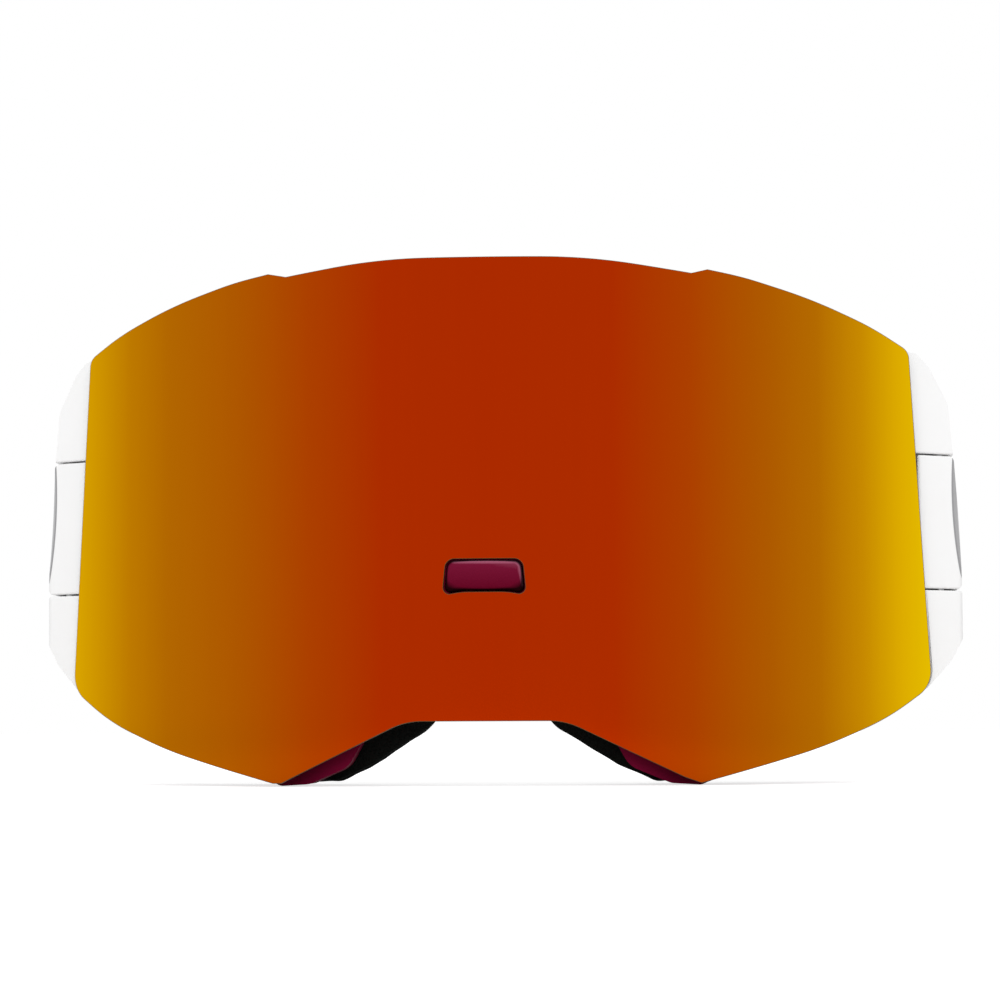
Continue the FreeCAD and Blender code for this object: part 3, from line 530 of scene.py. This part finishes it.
def white_with_painted_facet_shade():
    """White shell with painted shade on its facet: grey, fading rearwards.

    A cylinder planes the facet: its radius is the facet's length squared over eight times its
    depth. A point lies on the facet where its distance from the cylinder's axis, the length of
    the cross product of its offset and the axis, is no more than the radius and the band.
    """
    # the grey is painted shade on the facet and a little past its edge, fading rearwards
    dark, light, facet = (0.90, 0.90, 0.90), (0.92, 0.92, 0.92), (0.30, 0.30, 0.31)
    material, tree, shader, place = finish("white_with_painted_facet_shade", Roughness=0.30, Specular_IOR_Level=0.4)
    radius = FACET_LENGTH ** 2 / (8.0 * FACET_DEPTH)
    axis = Vector((-FACET_OUT[1], FACET_OUT[0], 0.0)).normalized()
    centre = Vector(FACET_EDGE) + Vector(FACET_OUT).normalized() * (radius - FACET_DEPTH)
    middle = tuple(placed(centre.x, centre.y, centre.z))
    parts = coordinates(tree, place)
    right_hand = add(tree, "ShaderNodeCombineXYZ", {
        "X": computed(tree, "ABSOLUTE", parts["X"]), "Y": parts["Y"], "Z": parts["Z"]})
    offset = computed_vector(tree, "SUBTRACT", right_hand.outputs[0], middle)["Vector"]
    turned = computed_vector(tree, "CROSS_PRODUCT", offset, tuple(axis))["Vector"]
    away = computed_vector(tree, "LENGTH", turned)["Value"]
    edge = radius + FACET_BAND
    planed = ranged(tree, away, (edge + FACET_SOFT) / 1000.0, edge / 1000.0)
    fade = [(FACET_EDGE[1] + behind - SEAT_Y) / 1000.0 for behind in FACET_FADE]
    fading = ranged(tree, parts["Y"], *fade, 1.0, 0.0)
    shell = mixed_colour(tree, noise(tree, place, 9.0, detail=3.0), dark, light)
    share = computed(tree, "MULTIPLY", planed, fading)
    paint(tree, shader, mixed_colour(tree, share, shell, facet))
    bump(tree, shader, noise(tree, place, 0.8, detail=3.0, roughness=0.65), 0.008)
    return material


def foam(name, dark, light, cell_mm, depth_mm):
    """Sliced open-cell foam: dark round pores, by the distance to the nearest cell's middle."""
    pore = 0.55
    material, tree, shader, place = finish(name, Roughness=0.95, Specular_IOR_Level=0.06)
    cells = add(tree, "ShaderNodeTexVoronoi", {"Vector": place, "Scale": 1000.0 / cell_mm})
    distance = cells.outputs["Distance"]
    paint(tree, shader, mixed_colour(tree, ranged(tree, distance, 0.0, pore), dark, light))
    bump(tree, shader, distance, depth_mm)
    return material


def fleece_cloth():
    """Brushed fleece: curly tufts over a soft sheen."""
    material, tree, shader, place = finish(
        "fleece_cloth", Roughness=1.0, Specular_IOR_Level=0.04, Sheen_Weight=0.15,
        Sheen_Roughness=0.6, Sheen_Tint=(0.5, 0.5, 0.52, 1.0))
    tufts = noise(tree, place, 0.9, detail=5.0, roughness=0.75)
    paint(tree, shader, mixed_colour(tree, tufts, (0.006, 0.006, 0.007), (0.030, 0.030, 0.033)))
    bump(tree, shader, tufts, 0.35)
    return material


def metal(name, colour, roughness):
    """Bright metal, a tenth darker in slow patches, with a fine satin finish."""
    material, tree, shader, place = finish(name, Metallic=1.0, Roughness=roughness)
    darker = tuple(0.9 * c for c in colour)
    paint(tree, shader, mixed_colour(tree, noise(tree, place, 3.0), colour, darker))
    bump(tree, shader, noise(tree, place, 0.4), 0.006)
    return material


def woven():
    """Elastic webbing: a twill of yarns from two crossing waves in the band's own lengths.

    The weft is a sine across the band, the warp a sine along a slant, and the higher shows.
    """
    rib_mm, yarn_mm = 1.1, 0.9
    groove = -0.6
    material, tree, shader, _ = finish(
        "woven_elastic", Roughness=0.85, Specular_IOR_Level=0.12, Sheen_Weight=0.1,
        Sheen_Roughness=0.5)
    cloth = coordinates(tree, add(tree, "ShaderNodeUVMap", uv_map="cloth").outputs["UV"])
    ribs = computed(tree, "MULTIPLY", cloth["X"], 2.0 * math.pi / rib_mm)
    yarns = computed(tree, "MULTIPLY", cloth["Y"], 2.0 * math.pi / yarn_mm)
    warp = computed(tree, "SINE", computed(tree, "ADD", ribs, yarns))
    weft = computed(tree, "SINE", yarns)
    height = ranged(tree, computed(tree, "MAXIMUM", warp, weft), groove, 1.0)
    paint(tree, shader, mixed_colour(tree, height, (0.004, 0.004, 0.005), (0.024, 0.024, 0.027)))
    bump(tree, shader, height, 0.18)
    return material


def silicone():
    """Dark satin rubber with a faint orange-peel surface."""
    dark, light = (0.020, 0.020, 0.022), (0.028, 0.028, 0.031)
    material, tree, shader, place = finish("grip_silicone", Roughness=0.38, Specular_IOR_Level=0.3)
    paint(tree, shader, mixed_colour(tree, noise(tree, place, 6.0), dark, light))
    bump(tree, shader, noise(tree, place, 0.8), 0.03)
    return material


FINISHES = {
    "mirror_lens": mirror_coating_and_painted_reflection(),
    "lens_edge": tinted_plastic(
        "lens_edge", (0.105, 0.052, 0.012), (0.125, 0.062, 0.016), roughness=0.30, specular=0.10),
    "lens_back": tinted_plastic(
        "lens_back", (0.230, 0.066, 0.012), (0.270, 0.084, 0.016), roughness=0.12, specular=0.50),
    "clear_lens": clear_plastic(),
    "spacer_foam": foam(
        "closed_cell_foam", (0.004, 0.004, 0.004), (0.012, 0.012, 0.012), cell_mm=0.5, depth_mm=0.05),
    "carrier_black": moulded(
        "carrier_black", (0.008, 0.008, 0.009), (0.013, 0.013, 0.014), roughness=0.50, specular=0.20),
    "magnet": metal("nickel_plate", (0.62, 0.60, 0.56), roughness=0.22),
    # the frame's own burgundy, lifted above the button's as painted light for its shaded nose
    "frame_burgundy": moulded(
        "frame_burgundy", (0.188, 0.0032, 0.030), (0.215, 0.0046, 0.037), roughness=0.55,
        specular=0.03, grain_mm=0.4),
    "button_burgundy": button_plastic(),
    "steel": metal("bright_steel", (0.56, 0.56, 0.57), roughness=0.28),
    "vent_foam": foam(
        "open_cell_foam", (0.003, 0.003, 0.003), (0.020, 0.020, 0.021), cell_mm=0.9, depth_mm=0.30),
    "face_foam": foam(
        "face_foam", (0.004, 0.0048, 0.004), (0.015, 0.017, 0.015), cell_mm=0.45, depth_mm=0.10),
    "fleece": fleece_cloth(),
    "white_shell": moulded(
        "white_shell", (0.90, 0.90, 0.90), (0.92, 0.92, 0.92), roughness=0.30, specular=0.40,
        grain_mm=0.8, grain_depth=0.008),
    "white_with_painted_facet_shade": white_with_painted_facet_shade(),
    "strap_webbing": woven(),
    "slider_black": moulded(
        "slider_black", (0.009, 0.009, 0.010), (0.014, 0.014, 0.015), roughness=0.42, specular=0.25),
    "grip_silicone": silicone(),
    "thread": moulded(
        "thread", (0.035, 0.035, 0.038), (0.060, 0.060, 0.065), roughness=0.70, specular=0.20,
        grain_mm=0.3, grain_depth=0.05),
}


def paint_nodes():
    """Gives every CAD piece the finish of its own material slot, but the outriggers a white with
    painted shade on their facet.
    """
    for part in frame["record"]["subparts"]:
        name = part["node"]
        # the outriggers take the white with painted shade on its facet
        slot = "white_with_painted_facet_shade" if name.startswith("outrigger") else part["material_slot"]
        node = frame["nodes"][name]
        node.data.materials.clear()
        node.data.materials.append(FINISHES[slot])


# ---------------------------------------------------------------- outer lens
def reach_of(line, angles, centre):
    """How far a closed line lies from the centre in each direction: where each ray meets it.

    With x for the cross product, a ray meets an edge at (start x edge) / (ray x edge) out along
    the ray, and at the share (start x ray) / (ray x edge) of the edge.
    """
    tiny = 1e-9
    start = (line - centre)[None]
    edge = (np.roll(line, -1, axis=0) - line)[None]
    ray = np.stack([np.cos(angles), np.sin(angles)], axis=1)[:, None]
    across = ray[..., 0] * edge[..., 1] - ray[..., 1] * edge[..., 0]
    across = np.where(np.abs(across) < tiny / 1000.0, tiny / 1000.0, across)
    along = (start[..., 0] * edge[..., 1] - start[..., 1] * edge[..., 0]) / across
    share = (start[..., 0] * ray[..., 1] - start[..., 1] * ray[..., 0]) / across
    met = (share > -tiny) & (share < 1.0 + tiny) & (along > 0)
    return np.where(met, along, 0.0).max(axis=1)


def slant_of(reach, angles):
    """How much longer a step towards the centre is than the step square to the line.

    That is the root of 1 + (slope / reach) squared, where the slope is the reach's change with
    the angle. It is held at 3, which the corners would pass.
    """
    turn = 2.0 * math.pi
    around = np.concatenate([angles[-1:] - turn, angles, angles[:1] + turn])
    slope = np.gradient(np.concatenate([reach[-1:], reach, reach[:1]]), around)[1:-1]
    return np.minimum(np.sqrt(1.0 + (slope / reach) ** 2), 3.0)


def mirror_lens():
    """The outer lens: a sheet between the button's hole and its outline, on the lens curve.

    Each column is a ray from the button's middle. Its rows run over the front from the hole to
    the rim, round the rim on two quarter circles, back behind, and round the hole's edge in the
    same way, so the sheet closes on itself. A row is its share of the way from hole to rim, how
    far it is moved in from both, and its depth. The coating ends where the edge starts to turn.
    """
    hole = loop(inset(both_sides(BUTTON_HALF), -BUTTON_GAP), per_arc=9, per_run=9)
    rim = loop(both_sides(LENS_HALF), per_arc=10, per_run=10)
    corners = np.concatenate([hole, rim]) - BUTTON_MIDDLE
    angles = np.sort(np.arctan2(corners[:, 1], corners[:, 0]))
    least_step = 0.002           # radians between rays
    angles = angles[np.append(np.diff(angles) > least_step, True)]
    inner, outer = (reach_of(line, angles, BUTTON_MIDDLE) for line in (hole, rim))
    inner_slant, outer_slant = slant_of(inner, angles), slant_of(outer, angles)
    share = np.concatenate([[0.0, 0.001, 0.01], np.linspace(0.04, 0.96, 24), [0.995, 0.999, 1.0]])
    quarter = np.linspace(0.0, math.pi / 2, 6)[1:]
    moved_in = LENS_EDGE * (1.0 - np.sin(quarter))
    moved_back = LENS_EDGE * (1.0 - np.cos(quarter))
    front = [(s, LENS_EDGE, 0.0) for s in share]
    round_front = [(1.0, i, d) for i, d in zip(moved_in, moved_back)]
    round_back = [(s, i, LENS_THICK - d) for s, i, d in round_front[::-1]]
    side = front + round_front + round_back
    back = [(1.0 - s, LENS_EDGE, LENS_THICK) for s in share]
    hole_side = [(0.0, i, d) for _, i, d in (round_front + round_back)[::-1]]
    rows = []
    for s, i, depth in side + back + hole_side:
        reach = (inner + i * inner_slant) * (1.0 - s) + (outer - i * outer_slant) * s
        x = BUTTON_MIDDLE[0] + reach * np.cos(angles)
        z = BUTTON_MIDDLE[1] + reach * np.sin(angles)
        rows.append(placed(x, lens_y(x, LENS_RADIUS - depth), z))
    piece = surface(
        "mirror_lens_sheet", np.array(rows), FINISHES["mirror_lens"], wrap_rows=True,
        other=[(FINISHES["lens_edge"], len(front) - 1, len(rows) - 1),
               (FINISHES["lens_back"], len(side), len(side) + len(back) - 2)])
    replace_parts(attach(piece, "lens_body"), "outer_lens")


# ---------------------------------------------------------------- button spring
def button_coil():
    """The button's spring: a round wire carried along a helix."""
    steps_a_turn = 24
    front, rear = COIL_ENDS
    turn = np.linspace(0.0, 2.0 * math.pi * COIL_TURNS, steps_a_turn * COIL_TURNS + 1)[:, None]
    around = round_steps(8)[None]
    radius = COIL_RADIUS + COIL_WIRE * np.cos(around)
    run = (rear - front - 2.0 * COIL_WIRE) * turn / turn[-1]
    depth = front + COIL_WIRE + run + COIL_WIRE * np.sin(around)
    x = BUTTON_MIDDLE[0] + radius * np.cos(turn)
    z = BUTTON_MIDDLE[1] + radius * np.sin(turn)
    piece = surface("button_coil", placed(x, depth, z), FINISHES["steel"])
    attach(piece, "frame_body")
    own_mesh(piece)
    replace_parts(piece, "button_spring")


# ---------------------------------------------------------------- face foam
def foam_outline():
    """The frame's outline down to the chin, set in a little, and the foam's own nose arch."""
    follows = inset(both_sides(FRAME_HALF), FOAM_EDGE)[:FOAM_FOLLOWS]
    return both_sides(np.concatenate([follows, np.array(FOAM_NOSE, float)]))


def rounded_section(width, depth, radius, bulge):
    """Rows of (in from the edge, back) round a cushion's section.

    A rectangle with round corners whose long sides swell by a sine, as pressed foam does.
    """
    corners = np.array([[0.0, 0.0], [width, 0.0], [width, depth], [0.0, depth]])
    section = loop(np.column_stack([corners, np.full(4, radius)]), per_arc=5, per_run=5)
    swell = bulge * np.sin(np.pi * np.clip(section[:, 1] / depth, 0.0, 1.0))
    off_middle = section[:, 0] - width / 2.0
    section[:, 0] += swell * np.sign(off_middle) * (np.abs(off_middle) > width / 3.0)
    return section


def foam_layer(name, front, thick, radius, bulge, slot):
    """One layer of the face foam: its section carried round the foam's outline.

    A section point (a, s) lies on the outline moved in by a, on the face surface s behind
    the flange. A slow ripple, the product of two sines, moves it up and down, as on cut foam.
    """
    steps = {"per_arc": 7, "per_run": 9}
    outer = wall(foam_outline(), **steps)
    inner = wall(inset(foam_outline(), FOAM_RING), **steps)
    rows = []
    for a, s in rounded_section(FOAM_RING, thick, radius, bulge):
        share = a / FOAM_RING
        ends = [out * (1 - share) + into * share for out, into in zip(outer, inner)]
        rows.append(np.stack(on_wall(ends, lambda x: face_y(x, front + s)), axis=-1))
    grid = np.array(rows)
    x, z = grid[..., 0], grid[..., 2]
    grid[..., 2] += FOAM_RIPPLE * np.sin(x * 0.9 + z * 0.55) * np.sin(z * 0.7 + 1.0)
    points = placed(grid[..., 0], grid[..., 1], grid[..., 2])
    piece = surface(name, points, FINISHES[slot], wrap_rows=True)
    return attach(piece, "frame_body")


def face_foam():
    """Firm foam on the flange, softer foam on it and fleece on top.

    Each layer has where it starts behind the flange, its thickness, the radius of its corners
    and how far its sides swell.
    """
    base = foam_layer("foam_base_pad", 0.1, FOAM_BASE - 0.1, 0.5, 0.1, "face_foam")
    soft = foam_layer("foam_soft_pad", FOAM_BASE + 0.05, FOAM_SOFT - 0.1, 1.2, 0.45, "face_foam")
    lining = foam_layer("fleece_lining", FOAM_BASE + FOAM_SOFT, FLEECE, 0.95, 0.25, "fleece")
    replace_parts(base, "foam_base")
    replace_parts(soft, "foam_soft")
    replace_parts(lining, "foam_fleece")


# ---------------------------------------------------------------- vent foam
def vent_strip(name, keep):
    """A strip of open-cell foam inside the frame's wall, from the rim back to the flange.

    Its outer face follows the frame's outline moved in by the wall, and its inner face that
    outline moved in by the strip too. keep picks the points of the outline that it covers.
    """
    steps = {"per_arc": 9, "per_run": 11}
    outer = inset(both_sides(FRAME_HALF), FRAME_WALL + VENT_GAP)
    inner = inset(both_sides(FRAME_HALF), FRAME_WALL + VENT_FOAM - VENT_GAP)
    across = np.linspace(0.0, 1.0, 7)[:, None]
    edge = loop(outer, **steps)
    covered = keep(edge)
    order = np.argsort(edge[covered][:, 0])
    rows = []
    for outline, shares in ((outer, across), (inner, across[::-1])):
        ends = [end[covered][order] for end in wall(outline, **steps)]
        rim = np.stack(on_wall(ends, lambda x: lens_y(x, RIM_REAR_RADIUS) + VENT_GAP), axis=-1)
        flange = np.stack(on_wall(ends, lambda x: face_y(x, -FLANGE_THICK) - VENT_GAP), axis=-1)
        rows.append(rim + (flange - rim) * shares[:, None])
    grid = np.concatenate(rows).transpose(1, 0, 2)
    return surface(name, placed(grid[..., 0], grid[..., 1], grid[..., 2]), FINISHES["vent_foam"])


def vent_foams():
    """One strip over the brow and one on each side of the chin."""
    brow = vent_strip("brow_vent_strip", lambda p: (p[:, 1] > SEAT_Z) & (abs(p[:, 0]) < BROW_FOAM_HALF))
    near, far = CHIN_FOAM
    chin = [
        vent_strip("chin_vent_strip_" + side,
                   lambda p, k=k: (p[:, 1] < SEAT_Z / 2) & (p[:, 0] * k > near) & (p[:, 0] * k < far))
        for side, k in SIDES]
    for piece in [brow, *chin]:
        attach(piece, "frame_body")
    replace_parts(brow, "brow_vent_foam")
    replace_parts(chin[0], "chin_vent_foam")


# ---------------------------------------------------------------- strap
def band_path():
    """Plan line of one half of the strap.

    Half a turn round the bar, a straight run back and a quarter circle round the head.
    """
    turn = math.radians(180.0) - np.linspace(-math.pi, 0.0, 19)
    turn_r = STRAP_X - TURN_X
    first = np.stack([TURN_X + turn_r * np.cos(turn), TURN_Y - turn_r * np.abs(np.sin(turn))], axis=1)
    run = np.linspace(TURN_Y, BOW_Y, 40)[1:]
    second = np.stack([np.full_like(run, STRAP_X), run], axis=1)
    bow = np.linspace(0.0, math.pi / 2, 90)[1:]
    third = np.stack([STRAP_X * np.cos(bow), BOW_Y + STRAP_X * np.sin(bow)], axis=1)
    return np.concatenate([first, second, third])


def normals_of(line):
    """Unit normals of a plan line, to the right of its direction."""
    along = np.gradient(line, axis=0)
    along /= np.linalg.norm(along, axis=1)[:, None]
    return np.stack([along[:, 1], -along[:, 0]], axis=1)


def band_section():
    """Rows of (out of the band, up) round the webbing's section, with round selvedges."""
    half, edge = STRAP_WIDTH / 2.0, STRAP_THICK / 2.0
    corners = np.array([[-edge, -half], [edge, -half], [edge, half], [-edge, half]])
    return loop(np.column_stack([corners, np.full(4, 0.95 * edge)]), per_arc=7, per_run=14)


def carried(line, section, sign):
    """A section carried along a plan line: out along the line's normal, and up.

    Also returns the cloth's own lengths, along the line and up.
    """
    normal = normals_of(line)
    x = line[:, None, 0] + normal[:, None, 0] * section[None, :, 0]
    y = line[:, None, 1] + normal[:, None, 1] * section[None, :, 0]
    z = np.broadcast_to(STRAP_MID_Z + section[None, :, 1], x.shape)
    steps = np.linalg.norm(np.diff(line, axis=0), axis=1)
    length = np.concatenate([[0.0], np.cumsum(steps)])
    uv = np.stack([np.broadcast_to(length[:, None], x.shape), z], axis=-1)
    return placed(x * sign, y, z), uv


def bend_with_arm(piece):
    """Bakes the piece's placement into its mesh."""
    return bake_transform(piece)


def strap_half(side, sign):
    """The outer layer of webbing, from round the bar to the middle of the back."""
    points, uv = carried(band_path(), band_section(), sign)
    piece = surface("webbing_" + side, points, FINISHES["strap_webbing"], uv=uv, sharp=60.0)
    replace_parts(bend_with_arm(piece), "strap_" + side)


def strap_tail(side, sign):
    """The inner layer of webbing, from the bar to its sewn end at the slider."""
    run = np.linspace(TURN_Y, TAIL_END, 40)
    line = np.stack([np.full_like(run, TAIL_X), run], axis=1)
    points, uv = carried(line, band_section(), sign)
    piece = surface("webbing_tail_" + side, points, FINISHES["strap_webbing"], uv=uv, sharp=60.0)
    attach(piece, "arm_" + side)
    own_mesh(piece)
    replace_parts(piece, "strap_tail_" + side)


def tail_stitches(side, sign):
    """Two rows of thread across the tail's inner face: each stitch is a long thin ellipsoid.

    Its radius is the thread's times the root of 1 - t squared, with t nearly -1 to 1 along it.
    """
    count = int((STRAP_WIDTH - 2.0 * STITCH_PITCH) / STITCH_PITCH)
    inner = TAIL_X - STRAP_THICK / 2.0
    t = np.linspace(-0.97, 0.97, 9)[:, None]
    around = round_steps(8)[None]
    radius = THREAD * np.sqrt(1.0 - t ** 2)
    x = (inner - THREAD_SUNK * THREAD + radius * np.cos(around)) * sign
    threads = []
    for y in STITCH_ROWS:
        for k in range(count):
            middle = STRAP_MID_Z + (k - (count - 1) / 2.0) * STITCH_PITCH
            z = np.broadcast_to(middle + t * STITCH_LENGTH / 2.0, x.shape)
            threads.append(surface(
                "stitch", placed(x, y + radius * np.sin(around), z), FINISHES["thread"]))
    piece = joined("tail_stitches_" + side, threads)
    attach(piece, "slider_" + side)


def strap_grips(side, sign):
    """Three beads of silicone on the inside of the bow, each with tapered ends.

    The section is half an ellipse with a flat base, carried round the bow. It is scaled by the
    root of 1 - |t| to the 40th, with t from -1 to 1 along the bead, so it is full nearly to its
    ends.
    """
    start, end = np.radians(GRIP_ANGLES)
    bead_angle = np.linspace(start, end, 70)
    radius = STRAP_X - STRAP_THICK / 2.0
    line = np.stack([radius * np.cos(bead_angle), BOW_Y + radius * np.sin(bead_angle)], axis=1)
    normal = normals_of(line)
    t = np.linspace(-1.0, 1.0, len(line))[:, None]
    taper = np.sqrt(np.clip(1.0 - np.abs(t) ** 40, 0.02, 1.0))
    around = round_steps(16)[None]
    out = -GRIP_THICK * np.clip(np.sin(around), -0.1, 1.0) * taper
    up = GRIP_WIDTH / 2.0 * np.cos(around) * taper
    x = line[:, None, 0] + normal[:, None, 0] * out
    y = line[:, None, 1] + normal[:, None, 1] * out
    beads = [
        surface("bead", placed(x * sign, y, STRAP_MID_Z + k * GRIP_PITCH + up),
                FINISHES["grip_silicone"])
        for k in (-1, 0, 1)]
    piece = bend_with_arm(joined("grip_beads_" + side, beads))
    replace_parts(piece, "strap_grip_" + side)


# ---------------------------------------------------------------- stage
def seen_white(tree, to_camera, to_mirrors):
    """A strength for rays from the camera, another from mirrors and through glass, and 0."""
    path = add(tree, "ShaderNodeLightPath").outputs
    mirrored = computed(tree, "MAXIMUM", path["Is Glossy Ray"], path["Is Transmission Ray"])
    return computed(
        tree, "MAXIMUM", computed(tree, "MULTIPLY", mirrored, to_mirrors),
        computed(tree, "MULTIPLY", path["Is Camera Ray"], to_camera))


def pale_floor():
    """Plain matt, with a glow that the camera, mirrors and glass see."""
    material, tree, shader, _ = finish(
        "pale_floor", Roughness=1.0, Specular_IOR_Level=0.0, Base_Color=(0.80, 0.80, 0.80, 1.0),
        Emission_Color=(1.0, 1.0, 1.0, 1.0))
    tree.links.new(seen_white(tree, *FLOOR_GLOW), shader.inputs["Emission Strength"])
    return material


def floor():
    """A wide flat sheet just below the frame."""
    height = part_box("frame")[0][2] - FLOOR_GAP
    corners = [(-1, -1), (1, -1), (1, 1), (-1, 1)]
    mesh = bpy.data.meshes.new("floor")
    mesh.from_pydata(
        [(x * FLOOR_REACH, y * FLOOR_REACH, height) for x, y in corners], [], [(0, 1, 2, 3)])
    mesh.materials.append(pale_floor())
    piece = bpy.data.objects.new("floor", mesh)
    bpy.context.scene.collection.objects.link(piece)


def world():
    """An even sky: white to the camera and to mirrors, softer as light."""
    sky = bpy.data.worlds.new("studio")
    bpy.context.scene.world = sky
    sky.use_nodes = True
    tree = sky.node_tree
    background = tree.nodes["Background"]
    background.inputs["Color"].default_value = (1.0, 1.0, 1.0, 1.0)
    strength = ranged(tree, seen_white(tree, 1.0, 1.0), 0.0, 1.0, SKY_LIGHT, 1.0)
    tree.links.new(strength, background.inputs["Strength"])


def key_lamp():
    """One soft square lamp in front and above, aimed at the origin."""
    lamp = bpy.data.lights.new("key", "AREA")
    lamp.shape = "SQUARE"
    lamp.size = KEY_SIZE
    lamp.energy = KEY_WATTS
    piece = bpy.data.objects.new("key", lamp)
    piece.location = KEY_PLACE
    piece.rotation_euler = (-Vector(KEY_PLACE)).to_track_quat("-Z", "Y").to_euler()
    piece.visible_glossy = False
    piece.visible_camera = False
    bpy.context.scene.collection.objects.link(piece)


def camera():
    """The camera looks along its forward direction, rolled a little about it."""
    lens = bpy.data.cameras.new("camera")
    lens.sensor_width = CAMERA_SENSOR
    lens.lens = CAMERA_LENS
    lens.clip_start = 0.01
    piece = bpy.data.objects.new("camera", lens)
    piece.location = CAMERA_PLACE
    roll = Quaternion((0.0, 0.0, 1.0), math.radians(CAMERA_ROLL))
    upright = Vector(CAMERA_FORWARD).to_track_quat("-Z", "Y")
    piece.rotation_euler = (upright @ roll).to_euler()
    bpy.context.scene.collection.objects.link(piece)
    bpy.context.scene.camera = piece


def studio():
    """The floor, the light and the camera, with plain colour."""
    bpy.context.scene.view_settings.view_transform = "Standard"
    world()
    floor()
    key_lamp()
    camera()


paint_nodes()
mirror_lens()
button_coil()
face_foam()
vent_foams()
for side_name, side_sign in SIDES:
    strap_half(side_name, side_sign)
    strap_tail(side_name, side_sign)
    tail_stitches(side_name, side_sign)
    strap_grips(side_name, side_sign)
studio()
